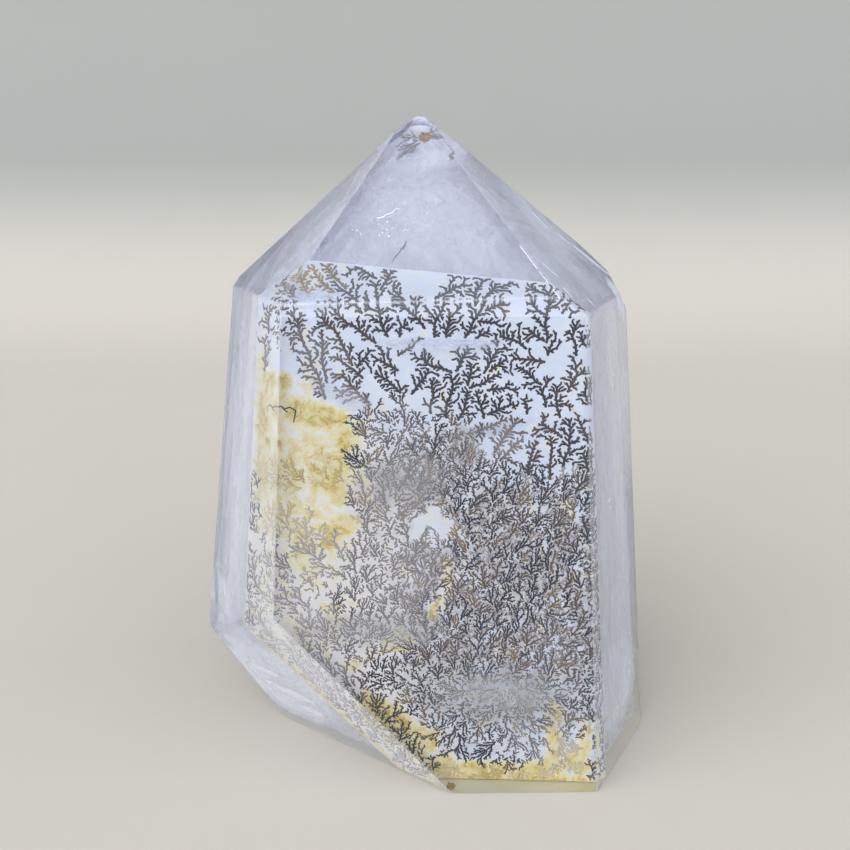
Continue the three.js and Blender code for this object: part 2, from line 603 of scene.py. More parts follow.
def patches(rows, u, v):
    """How strongly the soft patches cover one place, with ragged borders."""
    ragged = 0.30 * ripple(u, v, 0.5, 3.0)
    ragged += 0.24 * ripple(u, v, 1.4, 9.0)
    ragged += 0.14 * ripple(u, v, 3.5, 5.0)
    most = 0.0
    for centre_u, centre_v, half_width, half_height, lean, strength in rows:
        turn = math.radians(lean)
        across = (u - centre_u) * math.cos(turn) + (v - centre_v) * math.sin(turn)
        along = -(u - centre_u) * math.sin(turn) + (v - centre_v) * math.cos(turn)
        distance = math.hypot(across / half_width, along / half_height) + ragged
        fade = clamped((1.6 - distance) / 1.1)
        most = max(most, strength * fade * fade * (3 - 2 * fade))
    return most


def slant_depth(u, v):
    """How far a place on the fracture lies inside the slanting cut."""
    normal, reach = SLANT
    return reach - normal.dot(FRACTURE.place(u, v))


def stain_at(u, v):
    """Iron stain: soft patches, and a band that follows the slanting edge."""
    band = 1.2 - slant_depth(u, v) + 0.5 * ripple(u, v, 1.0, 7.0)
    low = clamped((20.0 - v) / 7.0, 0.35)
    return max(patches(STAIN_PATCHES, u, v), 0.85 * low * clamped(band / 0.7))


def grey_at(u, v):
    """The brownish grey that the deep, unsharp dendrites give the ground below the great fronds."""
    ragged = 1.6 * ripple(u, v, 0.3, 1.0)
    low = clamped((37.5 - 0.35 * max(0.0, u) - v + ragged) / 4.5)
    right = clamped((u + 7.0 + ragged) / 6.0, 0.15)
    lit = 1.0 - 0.9 * clamped(4.0 * ripple(u, v, 0.42, 30.0) - 0.2)
    foot = 0.35 + 0.65 * clamped((v - 6.0) / 10.0)
    clear = 0.1 if bare_at(u, v) else 1.0
    return clear * lit * clamped(patches(GREY_PATCHES, u, v), 0.6 * low * right * foot)


def warm_at(u, v):
    """The warm white of the lower left, where a little iron crept into the frost."""
    return clamped((3.0 - u) / 9.0) * clamped((40.0 - v) / 6.0)


def pale_at(u, v):
    return min(0.92, patches(PALE_PATCHES, u, v))


def haze_at(u, v):
    """Haze, with the short level step in the fracture where the upper fronds root."""
    step = 0.0
    if STEP_LINE_LEFT < u < STEP_LINE_RIGHT and v < STEP_LINE_HEIGHT:
        fade = min(1.0, (STEP_LINE_RIGHT - u) / 3.0, (u - STEP_LINE_LEFT) / 1.5)
        step = 0.85 * fade * math.exp(-(STEP_LINE_HEIGHT - v) / 0.7)
    return min(0.92, max(patches(HAZE_PATCHES, u, v), step))


STEP_LINE_HEIGHT = 47.3
STEP_LINE_LEFT = -5.4
STEP_LINE_RIGHT = 7.5


# Dendrites

# Fronds of the upper band: root (u, v), tip (u, v), how far side branches spread, and shade, from 0 for
# near black to 1 for golden rust. Each row is one trunk that can be told apart.
GREAT_FRONDS = [
    # the golden group at the upper left
    (-11.7, 50.6, -12.7, 53.0, 0.9, 0.72),
    (-9.2, 51.0, -11.8, 53.8, 0.7, 0.66),
    (-8.1, 51.4, -9.8, 54.1, 0.8, 0.55),
    (-12.9, 50.4, -14.0, 52.4, 0.6, 0.5),
    (-14.9, 47.5, -15.3, 50.3, 0.6, 0.3),
    (-15.6, 43.8, -15.9, 47.0, 0.6, 0.34),
    # rooted on the step line or just above it
    (-5.3, 46.8, -9.4, 50.1, 0.9, 0.3),
    (-6.6, 49.6, -8.8, 52.9, 0.8, 0.3),
    (-4.2, 47.4, -5.6, 52.2, 1.5, 0.25),
    (-4.9, 51.4, -4.4, 54.0, 1.3, 0.25),
    (-5.2, 52.6, -7.4, 53.9, 0.6, 0.25),
    (-3.1, 47.4, -3.0, 48.8, 0.5, 0.2),
    (-0.7, 48.2, -3.0, 52.2, 1.0, 0.2),
    (0.2, 47.4, 0.1, 53.4, 1.7, 0.15),
    (0.2, 50.6, 2.9, 52.6, 0.8, 0.2),
    (1.3, 47.4, 1.1, 50.2, 1.0, 0.15),
    (3.0, 47.4, 5.6, 52.8, 1.5, 0.2),
    (4.2, 49.0, 6.2, 48.9, 0.4, 0.2),
    (4.0, 50.4, 4.2, 53.2, 0.7, 0.2),
    (4.9, 50.0, 6.7, 50.9, 0.5, 0.35),
    (4.0, 47.4, 5.4, 48.2, 0.5, 0.2),
    (6.1, 46.6, 6.1, 47.9, 0.4, 0.2),
    (8.9, 46.4, 7.1, 48.8, 0.6, 0.25),
    (10.7, 47.0, 10.2, 51.7, 1.9, 0.15),
    (10.6, 47.2, 8.7, 48.2, 0.4, 0.15),
    (13.6, 45.8, 12.5, 48.2, 0.5, 0.2),
    (14.6, 46.6, 13.7, 47.6, 0.4, 0.3),
    (14.2, 49.9, 12.5, 50.6, 0.6, 0.3),
    # the next tier down
    (-10.3, 41.3, -12.6, 49.3, 1.0, 0.38),
    (-10.1, 42.9, -11.2, 48.1, 0.5, 0.36),
    (-7.6, 44.6, -10.4, 49.5, 0.9, 0.34),
    (-6.6, 43.4, -9.7, 45.4, 0.9, 0.28),
    (-7.2, 44.4, -6.4, 46.6, 0.5, 0.25),
    (-6.0, 41.0, -9.1, 43.7, 0.8, 0.4),
    (-3.2, 44.2, -7.0, 46.7, 1.3, 0.28),
    (-3.3, 45.6, -1.7, 46.6, 0.5, 0.3),
    (-3.0, 42.0, -5.2, 44.4, 0.6, 0.2),
    (-2.0, 41.9, -1.3, 45.0, 0.8, 0.2),
    (-0.1, 40.0, -0.4, 43.6, 0.6, 0.25),
    (1.9, 44.0, -0.8, 46.4, 0.7, 0.15),
    (2.0, 43.9, 1.9, 46.8, 0.8, 0.15),
    (2.2, 44.2, 3.8, 46.3, 0.5, 0.2),
    (1.4, 39.6, 1.0, 44.1, 1.1, 0.2),
    (3.4, 42.8, 3.6, 45.2, 0.6, 0.15),
    (3.5, 42.6, 6.4, 44.2, 0.6, 0.2),
    (4.9, 44.0, 5.4, 46.8, 0.8, 0.15),
    (5.4, 44.2, 7.0, 45.6, 0.4, 0.15),
    (2.5, 39.4, 2.9, 42.6, 0.5, 0.2),
    (5.0, 39.6, 4.9, 42.6, 0.8, 0.2),
    (5.2, 42.4, 7.2, 43.5, 0.5, 0.2),
    (5.3, 40.0, 7.5, 41.8, 0.6, 0.2),
    (9.2, 39.9, 8.0, 42.4, 0.5, 0.2),
    (9.1, 40.1, 9.7, 41.6, 0.3, 0.2),
    (10.9, 40.8, 10.7, 46.4, 1.2, 0.18),
    (10.5, 43.0, 7.8, 44.9, 0.8, 0.2),
    (10.7, 45.2, 7.8, 46.2, 0.7, 0.3),
    (10.9, 45.8, 11.9, 47.4, 0.5, 0.2),
    (12.9, 42.2, 12.8, 46.6, 0.6, 0.3),
    (12.9, 42.3, 14.3, 44.2, 0.5, 0.4),
    (12.3, 39.8, 12.2, 43.0, 0.6, 0.3),
    (15.0, 41.0, 14.2, 42.4, 0.6, 0.35),
    (15.2, 37.2, 14.1, 40.2, 0.5, 0.35),
    (12.6, 37.8, 10.7, 39.8, 0.6, 0.35),
    (12.8, 34.9, 12.7, 39.9, 1.0, 0.28),
    (11.6, 33.6, 10.3, 37.9, 0.7, 0.35),
    (9.5, 34.0, 9.7, 37.6, 0.5, 0.3),
    (15.3, 34.4, 14.4, 36.4, 0.5, 0.3),
    (6.6, 35.4, 9.2, 37.4, 0.6, 0.45),
    (6.0, 36.2, 8.6, 39.6, 0.5, 0.38),
    (4.2, 38.2, 7.2, 39.8, 0.5, 0.35),
]

# Strokes at full size: from one joint to the next, the widths of trunks and twigs, how close one stroke may
# come to another, and how many joints a stroke carries when it is as wide as a trunk.
STEP = 0.15
TRUNK_WIDTH = 0.28
TWIG_WIDTH = 0.2
GAP = 0.262
FULL_LOAD = 110
LEAST_LOAD = 6
RIM = 0.2
CELL = 0.25
FIELD_WIDTH = 38
FIELD_HEIGHT = 56
STROKE_FLATNESS = 0.45

# How strongly a tip bends back, at each joint, to where its dendrite tends
TENDING = 0.09


class Joint:
    """One joint of a dendrite: its place, the way it grows, the joint that it grew from, and its stroke."""

    def __init__(self, u, v, heading, root, stroke, grain, shade):
        self.u = u
        self.v = v
        self.heading = heading
        self.root = root
        self.stroke = stroke
        self.grain = grain
        self.shade = shade
        self.onward = None
        self.load = 1

    def width(self):
        share = min(1.0, (self.load - 1) / FULL_LOAD) ** 0.5
        return (TWIG_WIDTH + (TRUNK_WIDTH - TWIG_WIDTH) * share) * self.grain


class Tip:
    """A growing end: its joint, its heading, where it tends, how many joints it has left to grow, and its
    rank, which is 0 for a trunk, 1 and 2 for branches and 3 for a twig."""

    def __init__(self, joint, stroke, heading, aim, life, rank, spread):
        self.joint = joint
        self.stroke = stroke
        self.grown = 0
        self.heading = heading
        self.aim = aim
        self.life = life
        self.whole = life
        self.rank = rank
        self.spread = spread
        self.side = 1
        self.wait = 1
        self.patient = False


class Colony:
    """Dendrites on a sheet; all their tips grow at once and keep clear of one another."""

    def __init__(self, sheet, seed, least_load=LEAST_LOAD):
        self.sheet = sheet
        self.chance = random.Random(seed)
        self.wander = 0.11
        self.least_load = least_load
        self.joints = []
        self.cells = {}
        self.sources = []

    def new_stroke(self, source):
        """A number for a stroke that sprouts from the source stroke."""
        self.sources.append(source)
        return len(self.sources) - 1

    def add(self, u, v, heading, root, stroke, grain, shade):
        joint = Joint(u, v, heading, root, stroke, grain, shade)
        self.joints.append(joint)
        self.cells.setdefault((int(u // CELL), int(v // CELL)), []).append(joint)
        return joint

    def near(self, u, v, radius):
        """The joints within the radius of a place."""
        column = int(u // CELL)
        row = int(v // CELL)
        reach = int(radius // CELL) + 1
        found = []
        for i in range(column - reach, column + reach + 1):
            for j in range(row - reach, row + reach + 1):
                for joint in self.cells.get((i, j), ()):
                    if math.hypot(joint.u - u, joint.v - v) < radius:
                        found.append(joint)
        return found

    def free(self, tip, u, v, heading, gap):
        """Whether a tip can grow to this place with no other stroke too close."""
        source = self.sources[tip.stroke]
        for joint in self.near(u, v, gap):
            if tip.stroke in (joint.stroke, self.sources[joint.stroke]):
                continue
            if tip.grown < 4 and joint.stroke == source:
                continue
            if tip.grown < 2 and source == self.sources[joint.stroke]:
                ahead = (joint.u - u) * math.cos(heading) + (joint.v - v) * math.sin(heading)
                if ahead < 0.2 * gap:
                    continue
            return False
        return inside(self.sheet.place(u, v), RIM)

    def plant(self, u, v, heading, length, spread, grain, shade):
        """A new trunk's first joint, with its tip."""
        stroke = self.new_stroke(None)
        joint = self.add(u, v, heading, None, stroke, grain, shade)
        tip = Tip(joint, stroke, heading + self.chance.uniform(-0.2, 0.2), heading,
                  length / (STEP * grain), 0, spread / (STEP * grain))
        tip.side = self.chance.choice((-1, 1))
        return tip

    def grow(self, tips, trunks_first=False):
        """Grows all tips, one joint at a time; the trunks may go first, and their branches follow."""
        self.later = []
        for tip in tips:
            tip.patient = trunks_first
        while tips:
            self.chance.shuffle(tips)
            tips = [coming for tip in tips for coming in self.advance(tip)]
            if not tips:
                tips = self.later
                self.later = []

    def advance(self, tip):
        """Grows one joint; returns the tips that go on from it."""
        chance = self.chance
        old = tip.joint
        grain = old.grain
        wander = self.wander if tip.rank < 3 else 0.3 * self.wander
        straight = tip.heading + TENDING * wrapped(tip.aim - tip.heading) + chance.gauss(0, wander)
        for turn in (0.0, 0.4, -0.4):
            heading = straight + turn
            u = old.u + STEP * grain * math.cos(heading)
            v = old.v + STEP * grain * math.sin(heading)
            if self.free(tip, u, v, heading, GAP * grain):
                break
        else:
            return []
        joint = self.add(u, v, heading, old, tip.stroke, grain, old.shade)
        if old.onward is None:
            old.onward = joint
        tip.joint = joint
        tip.grown += 1
        tip.heading = heading
        tip.life -= 1
        tip.wait -= 1
        going = [tip] if tip.life > 0.5 else []
        if tip.wait <= 0 and tip.rank < 3 and going:
            if tip.patient:
                self.later.append(self.sprout(tip))
            else:
                going.append(self.sprout(tip))
            tip.wait = chance.choice((1, 2, 2))
        return going

    def sprout(self, tip):
        """A side branch, or more often a twig, on the other side from the last one."""
        chance = self.chance
        tip.side = -tip.side
        along = 1 - tip.life / tip.whole
        swell = 0.5 + 2.4 * along * (1 - along)
        if tip.rank == 0 and chance.random() < 0.6:
            rank = 1
            life = tip.spread * swell * chance.uniform(0.6, 1.35)
        elif tip.rank == 1 and chance.random() < 0.35:
            rank = 2
            life = chance.uniform(3, 9)
        else:
            rank = 3
            life = chance.choice((2, 2, 3, 4))
        heading = tip.heading + tip.side * chance.uniform(0.6, 0.95)
        aim = tip.aim + tip.side * 0.25 if rank < 3 else heading
        return Tip(tip.joint, self.new_stroke(tip.stroke), heading, aim, life, rank, 0.5 * tip.spread)

    def scatter(self, gap, wanted):
        """Loose places about one gap apart, as thick as the rule wants them."""
        places = []
        for column in range(int(FIELD_WIDTH / gap)):
            for row in range(int(FIELD_HEIGHT / gap)):
                u = -FIELD_WIDTH / 2 + gap * (column + self.chance.random())
                v = gap * (row + self.chance.random())
                if self.chance.random() < wanted(u, v) and inside(self.sheet.place(u, v), RIM):
                    places.append((u, v))
        return places

    def runs(self):
        """Each unbroken stroke, as its joints from the root outwards."""
        for joint in reversed(self.joints):
            if joint.root:
                joint.root.load += joint.load
        strokes = []
        for joint in self.joints:
            if joint.root:
                joint.whole = joint.root.whole
                if joint.root.onward is joint:
                    continue
            else:
                joint.whole = joint.load
            if joint.whole < self.least_load:
                continue
            stroke = [joint.root] if joint.root else []
            while joint:
                stroke.append(joint)
                joint = joint.onward
            if len(stroke) > 1:
                strokes.append(stroke)
        return strokes


def wrapped(angle):
    """The same angle between minus and plus half a turn."""
    return (angle + math.pi) % (2 * math.pi) - math.pi


def stroke_mesh(sheet, strokes, paleness):
    """Flattened, tapering bars along the strokes, with a shade and a paleness for each vertex."""
    vertices = []
    faces = []
    shades = []
    pales = []
    for stroke in strokes:
        first = len(vertices)
        count = len(stroke)
        for k, joint in enumerate(stroke):
            shape = stroke[1] if k == 0 else joint
            half = 0.5 * shape.width() * (1.0 + 0.14 * math.sin(2.7 * k + first))
            if k == count - 1:
                half *= 0.7
            side_u = -math.sin(shape.heading) * half
            side_v = math.cos(shape.heading) * half
            thick = half * STROKE_FLATNESS
            vertices.append(sheet.place(joint.u + side_u, joint.v + side_v))
            vertices.append(sheet.place(joint.u, joint.v, thick))
            vertices.append(sheet.place(joint.u - side_u, joint.v - side_v))
            vertices.append(sheet.place(joint.u, joint.v, -thick))
            shades.extend([shape.shade] * 4)
            pales.extend([paleness(joint.u, joint.v)] * 4)
            if k:
                here = first + 4 * k
                back = here - 4
                for s in range(4):
                    t = (s + 1) % 4
                    faces.append((back + s, back + t, here + t, here + s))
        last = first + 4 * (count - 1)
        faces.append((first + 3, first + 2, first + 1, first))
        faces.append((last, last + 1, last + 2, last + 3))
    return vertices, faces, shades, pales


MOST_STROKE_TRIANGLES = 190_000


def clear_sight(u, v):
    return 0.0


def make_dendrites(name, colony, material, replaced=(), paleness=clear_sight):
    """One piece for each load of strokes that stays under the limit on triangles."""
    loads = [[]]
    triangles = 0
    for stroke in colony.runs():
        cost = 8 * (len(stroke) - 1) + 4
        if triangles + cost > MOST_STROKE_TRIANGLES:
            loads.append([])
            triangles = 0
        loads[-1].append(stroke)
        triangles += cost
    for number, load in enumerate(loads):
        label = name if number == 0 else f"{name}_{number + 1}"
        vertices, faces, shades, pales = stroke_mesh(colony.sheet, load, paleness)
        piece = new_piece(label, vertices, faces, material, replaced if number == 0 else ())
        write_values(piece.data, "tone", shades)
        write_values(piece.data, "pale", pales)


FROND_GRAIN = 0.9


def grow_great_fronds(colony):
    tips = []
    for root_u, root_v, tip_u, tip_v, spread, shade in GREAT_FRONDS:
        heading = math.atan2(tip_v - root_v, tip_u - root_u)
        length = math.hypot(tip_u - root_u, tip_v - root_v)
        tips.append(colony.plant(root_u, root_v, heading, length, 0.3 + 1.3 * spread, FROND_GRAIN, shade))
    colony.grow(tips, trunks_first=True)


def heading_at(u, v):
    """Which way the small dendrites grow: up in general, out and down round the low fan."""
    fan_u = 7.5
    fan_v = 11.0
    if v < fan_v and 1.0 < u < 14.0:
        return math.atan2(v - fan_v - 0.5, u - fan_u)
    return math.radians(90) - 0.03 * u


# The dendrites crowd together, dark, this close to the slanting cut.
CROWDED_EDGE = 2.5


def shade_at(u, v, chance):
    """Shade of the small dendrites: golden in the stained parts, dark to rusty brown elsewhere."""
    stain = stain_at(u, v)
    if slant_depth(u, v) < CROWDED_EDGE:
        return chance.uniform(0.2, 0.5)
    if stain > 0.3:
        return min(1.0, 0.8 + 0.2 * stain + chance.uniform(-0.1, 0.08))
    rust = 0.12 * ripple(u, v, 0.35, 20.0)
    return max(0.0, chance.choice((0.08, 0.16, 0.26, 0.36, 0.46, 0.54)) + 1.6 * rust)


def small_wanted(u, v):
    """How thick the seeds of the small dendrites lie."""
    if v > 39.5 or bare_at(u, v):
        return 0.0
    if v > 35.5 and (u > 4.0 or u < -6.5):
        return 0.0
    if v > 33.0 and u > 8.5:
        return 0.0
    if 0.9 < slant_depth(u, v) < CROWDED_EDGE:
        return 1.0
    if stain_at(u, v) > 0.3:
        return 0.06
    if u < -8 and v > 20.5:
        return 0.1
    if u < -9:
        return 0.5
    if v < 5:
        return 0.3
    return 1.0


def deep_wanted(u, v):
    """The deeper layer thickens the middle and right of the fracture, under the great fronds."""
    if v > 37.0 or v < 13.0 or bare_at(u, v) or stain_at(u, v) > 0.3:
        return 0.0
    if v > 33.5 and u > 5.0:
        return 0.0
    return 0.45 * clamped((u + 4.0) / 5.0)


def deep_paleness(u, v):
    return max(0.7, pale_at(u, v))


# Waves of small dendrites: gap between seeds, room that a seed needs, shortest and longest trunk, spread
SMALL_WAVES = [
    (1.5, 0.5, 1.2, 3.0, 1.7),
    (0.6, 0.30, 0.8, 1.8, 1.0),
    (0.33, 0.22, 0.6, 1.2, 0.6),
]


def grow_waves(colony, waves, wanted):
    """Fills the wanted places with fine tufts, in waves from large to small."""
    chance = colony.chance
    colony.wander = 0.15
    for gap, room, shortest, longest, spread in waves:
        tips = []
        for u, v in colony.scatter(gap, wanted):
            if colony.near(u, v, room):
                continue
            heading = heading_at(u, v) + chance.gauss(0, 0.5)
            length = chance.uniform(shortest, longest)
            tips.append(colony.plant(u, v, heading, length, spread, chance.uniform(0.52, 0.68),
                                     shade_at(u, v, chance)))
        colony.grow(tips)

# The same for the deeper layer
DEEP_WAVES = [
    (1.1, 0.45, 0.8, 2.0, 1.2),
    (0.5, 0.28, 0.6, 1.2, 0.8),
]
DEEP_LAYER = 0.03


# Clear holes between the small dendrites: (u, v, half width, half height)
BARE_PLACES = [
    (0.1, 28.3, 2.3, 2.1),
    (-12.6, 29.8, 4.0, 2.2),
    (-15.4, 36.6, 2.4, 1.5),
    (-14.6, 17.6, 2.2, 0.9),
]


def bare_at(u, v):
    ragged = 0.7 * ripple(u, v, 0.8, 15.0)
    return any(math.hypot((u - cu) / hw, (v - cv) / hh) < 1 + ragged for cu, cv, hw, hh in BARE_PLACES)


# Veils, flakes and marks in the clear quartz


def veil(name, centre, out, half_width, half_height, strength, stretch, dark, material):
    """A milky wisp: a gently wavy oval sheet that fades out towards its border."""
    sheet = Sheet(centre, out)
    rings = 16
    spokes = 40
    seed = sum(centre)
    vertices = [sheet.place(0, 0, 0)]
    cover = [strength]
    flow = [(0.0, 0.0, seed)]
    for ring in range(1, rings + 1):
        reach = ring / rings
        for spoke in range(spokes):
            angle = 2 * math.pi * spoke / spokes
            u = math.cos(angle) * reach * half_width
            v = math.sin(angle) * reach * half_height
            wave = 0.05 * half_height * ripple(u, v, 0.12, seed)
            point = sheet.place(u, v, wave)
            vertices.append(clamp_inside(point, Vector(centre)))
            cover.append(strength * (1 - reach ** 2) ** 1.2)
            flow.append((u, v / stretch, seed))
    faces = []
    for spoke in range(spokes):
        after = (spoke + 1) % spokes
        faces.append((0, 1 + spoke, 1 + after))
        for ring in range(rings - 1):
            near = 1 + ring * spokes
            far = near + spokes
            faces.append((near + spoke, far + spoke, far + after, near + after))
    piece = new_piece(name, vertices, faces, material)
    write_values(piece.data, "cover", cover)
    write_values(piece.data, "dark", [dark] * len(vertices))
    write_places(piece.data, "flow", flow)


def clamp_inside(point, centre, margin=0.25):
    """The point, or where its line to the centre comes back inside the crystal."""
    if inside(point, margin):
        return point
    low = 0.0
    high = 1.0
    for _ in range(14):
        middle = (low + high) / 2
        if inside(centre.lerp(point, middle), margin):
            low = middle
        else:
            high = middle
    return centre.lerp(point, low)


VEILS = [
    # name, centre, out, half width, half height, strength, stretch, dark
    ("veil_apex", (-0.5, 4.0, 63.6), (0.0, -0.75, 0.65), 5.0, 4.2, 1.7, 1.0, 0.0),
    ("veil_apex_deep", (-0.5, 5.6, 64.0), (0.3, -0.9, 0.3), 4.0, 3.6, 1.7, 1.0, 0.0),
    ("veil_peak", (-1.0, 4.6, 65.9), (0.0, -0.75, 0.65), 2.0, 1.3, 1.8, 1.0, 0.0),
    ("veil_tip", (-1.0, -0.5, 58.5), (0.1, -0.8, 0.6), 8.0, 8.0, 0.6, 1.0, 0.0),
    ("veil_slope", (12.2, 0.0, 54.5), (0.62, -0.45, 0.75), 4.0, 11.0, 0.8, 6.0, 0.0),
    # The dark sheet on the slope is painted shade: the dark band beside the slope's bright edge.
    ("slope_dark", (15.6, -2.1, 52.9), (0.60, -0.115, 0.79), 0.65, 2.9, 2.2, 3.0, 1.0),
    ("slope_white", (16.1, -0.7, 53.3), (0.60, -0.115, 0.79), 0.5, 3.4, 2.6, 3.0, 0.0),
    ("shoulder_white", (18.4, -2.2, 49.6), (0.85, -0.3, 0.4), 1.3, 2.6, 2.4, 2.0, 0.0),
    ("tip_smudge_left", (-2.0, 1.1, 63.85), (0.0, -0.75, 0.66), 1.5, 0.9, 0.8, 1.0, 0.9),
    ("tip_smudge_right", (1.0, 2.5, 65.0), (0.2, -0.7, 0.7), 0.9, 0.35, 1.4, 1.0, 0.9),
    ("veil_left", (-18.5, -3.0, 32.0), (-0.75, -0.6, 0.1), 6.0, 24.0, 0.6, 5.0, 0.0),
    ("veil_right", (18.6, -3.0, 30.0), (0.82, -0.55, 0.1), 6.0, 24.0, 0.6, 6.0, 0.0),
    # The dark sheet in the right face is painted shade, darkening that side of the crystal.
    ("veil_right_dark", (17.6, -2.0, 22.0), (0.82, -0.55, 0.1), 4.0, 9.0, 0.4, 6.0, 0.8),
    ("veil_right_foot", (17.0, -5.0, 7.0), (0.7, -0.7, 0.1), 7.0, 7.0, 2.6, 1.5, 0.0),
    ("veil_slant", (-16.0, -4.0, 7.6), (-0.52, -0.75, -0.4), 10.0, 8.0, 2.8, 1.5, 0.0),
    ("veil_slant_deep", (-14.5, -1.5, 9.0), (-0.52, -0.75, -0.4), 12.0, 9.0, 2.8, 1.2, 0.0),
    ("veil_heel", (-20.0, 1.0, 13.0), (-0.9, -0.2, -0.4), 8.0, 11.0, 1.8, 1.5, 0.0),
    ("veil_heart", (0.0, 2.5, 30.0), (0.2, -1.0, 0.1), 17.0, 26.0, 0.4, 2.0, 0.0),
    ("wisp_1", (-18.4, -5.3, 8.8), (-0.52, -0.75, -0.4), 2.8, 0.8, 3.0, 1.0, 0.0),
    ("wisp_2", (-15.2, -6.6, 6.3), (-0.52, -0.75, -0.4), 3.6, 0.9, 3.0, 1.0, 0.0),
    ("wisp_3", (-17.0, -5.1, 6.4), (-0.45, -0.75, -0.5), 2.6, 0.8, 2.5, 1.0, 0.0),
    ("wisp_4", (-13.2, -6.8, 4.3), (-0.52, -0.75, -0.4), 2.6, 0.7, 2.5, 1.0, 0.0),
]


def make_veils(material):
    for row in VEILS:
        veil(*row, material)


# Painted glints of tiny cracks: middle of each group, its spread in x, y and z, how many, and the largest
# size
FLAKE_GROUPS = [
    ((-4.8, -5.0, 56.9), (2.8, 0.4, 1.0), 40, 0.22),
    ((-2.0, -3.0, 59.0), (4.0, 0.6, 2.5), 30, 0.14),
    ((2.0, -4.0, 57.5), (4.0, 0.8, 2.5), 26, 0.12),
    ((1.6, 0.9, 63.0), (1.6, 0.5, 1.0), 8, 0.14),
    ((-8.5, -10.0, 50.4), (0.4, 0.2, 0.2), 3, 0.26),
    ((9.0, -4.0, 52.0), (3.0, 1.5, 3.0), 12, 0.1),
    ((18.4, -6.5, 38.0), (0.5, 0.8, 8.0), 18, 0.12),
    ((17.9, -7.6, 29.6), (0.2, 0.2, 0.5), 4, 0.24),
    ((-15.5, -6.0, 6.5), (3.5, 0.8, 2.5), 34, 0.14),
    ((-20.0, -4.0, 20.0), (0.8, 1.0, 8.0), 14, 0.09),
    ((13.2, -13.6, 1.8), (0.7, 0.3, 0.9), 12, 0.2),
    ((0.0, 4.0, 26.0), (12.0, 4.0, 18.0), 60, 0.09),
]


def make_flakes(material):
    """Tiny flat crystals that glow as painted glints, each a closed, flattened octahedron."""
    chance = random.Random(5)
    vertices = []
    faces = []
    for middle, spread, count, largest in FLAKE_GROUPS:
        for _ in range(count):
            place = Vector([m + s * chance.uniform(-1, 1) for m, s in zip(middle, spread)])
            if not inside(place, largest + SKIN):
                continue
            size = largest * chance.uniform(0.35, 1.0) / 2
            turn = Euler([chance.uniform(0, 6.28) for _ in range(3)]).to_matrix()
            first = len(vertices)
            for corner in ((1, 0, 0), (0, 0.7, 0), (-1, 0, 0), (0, -0.7, 0), (0, 0, 0.2), (0, 0, -0.2)):
                vertices.append(place + turn @ (Vector(corner) * size))
            for k in range(4):
                after = (k + 1) % 4
                faces.append((first + k, first + after, first + 4))
                faces.append((first + after, first + k, first + 5))
    new_piece("bright_flakes", vertices, faces, material)


# Small marks, each a list of thin lines as (u, v) points on its own sheet


SQUIGGLE = [
    [(-15.0, 40.4), (-14.6, 40.6), (-14.3, 40.3), (-13.8, 40.5), (-13.2, 40.2), (-13.3, 39.7), (-13.5, 38.9)],
    [(-14.6, 40.6), (-14.2, 40.1), (-13.9, 40.0)],
    [(-14.9, 40.1), (-14.5, 40.2)],
]
CRACK = [
    [(0.62, 1.15), (0.5, 0.6), (0.15, 0.25), (0.0, -0.15), (-0.35, -0.6), (-0.75, -1.35)],
    [(0.5, 0.6), (0.3, 0.05)],
]
# The feathery fringe of the tip spot: (u, v) where each tuft starts, its heading in degrees and its length
TIP_FRINGE = [
    (-0.7, 0.05, 182, 1.7),
    (-0.7, -0.3, 204, 1.9),
    (-0.5, -0.6, 226, 2.2),
    (-1.6, -1.5, 215, 0.7),
    (0.5, 0.6, 35, 1.0),
    (0.7, 0.3, 8, 1.0),
    (2.2, -0.9, -38, 1.2),
]
# A painted highlight: a glowing hairline beside the specks in the tip
HAIRLINE = [
    [(-1.1, -0.45), (-0.6, -0.35), (-0.2, 0.0), (0.3, 0.15), (0.7, 0.65), (1.1, 0.6)],
]
# Painted highlights: glowing streaks that run down the right slope, along its edge
SLOPE_STREAK_HIGHLIGHTS = [
    [(0.17, 4.42), (0.45, 3.6), (0.71, 2.81)],
    [(-6.8, 1.3), (-6.2, -0.6)],
    [(-6.9, -1.9), (-6.8, -3.4)],
    [(-4.6, -3.7), (-4.5, -4.9)],
    [(-0.9, 7.4), (-0.8, 5.1)],
]
# A painted highlight: glowing lines just under the worn edge on the right of the tip, bright along its lower
# third
EDGE_GLINT = [
    [(-0.15, 0.25), (-1.9, 3.15)],
    [(-2.0, 3.3), (-3.6, 6.0)],
]


def draw_line(colony, points, grain, shade):
    """A thin stroke through the points."""
    stroke = colony.new_stroke(None)
    old = None
    for (u, v), (next_u, next_v) in zip(points, points[1:]):
        heading = math.atan2(next_v - v, next_u - u)
        count = max(1, round(math.hypot(next_u - u, next_v - v) / (STEP * grain)))
        for k in range(count):
            u_here = u + (next_u - u) * k / count
            v_here = v + (next_v - v) * k / count
            joint = colony.add(u_here, v_here, heading, old, stroke, grain, shade)
            if old:
                old.onward = joint
            old = joint


def blot(name, sheet, radius, material):
    """A small lens-shaped spot with a ragged border."""
    chance = random.Random(8)
    spokes = 18
    vertices = [sheet.place(0, 0, 0.25 * radius), sheet.place(0, 0, -0.25 * radius)]
    for k in range(spokes):
        angle = 2 * math.pi * k / spokes
        reach = radius * chance.uniform(0.72, 1.2)
        vertices.append(sheet.place(reach * math.cos(angle), reach * math.sin(angle)))
    faces = []
    for k in range(spokes):
        here = 2 + k
        after = 2 + (k + 1) % spokes
        faces.append((0, here, after))
        faces.append((1, after, here))
    new_piece(name, vertices, faces, material)


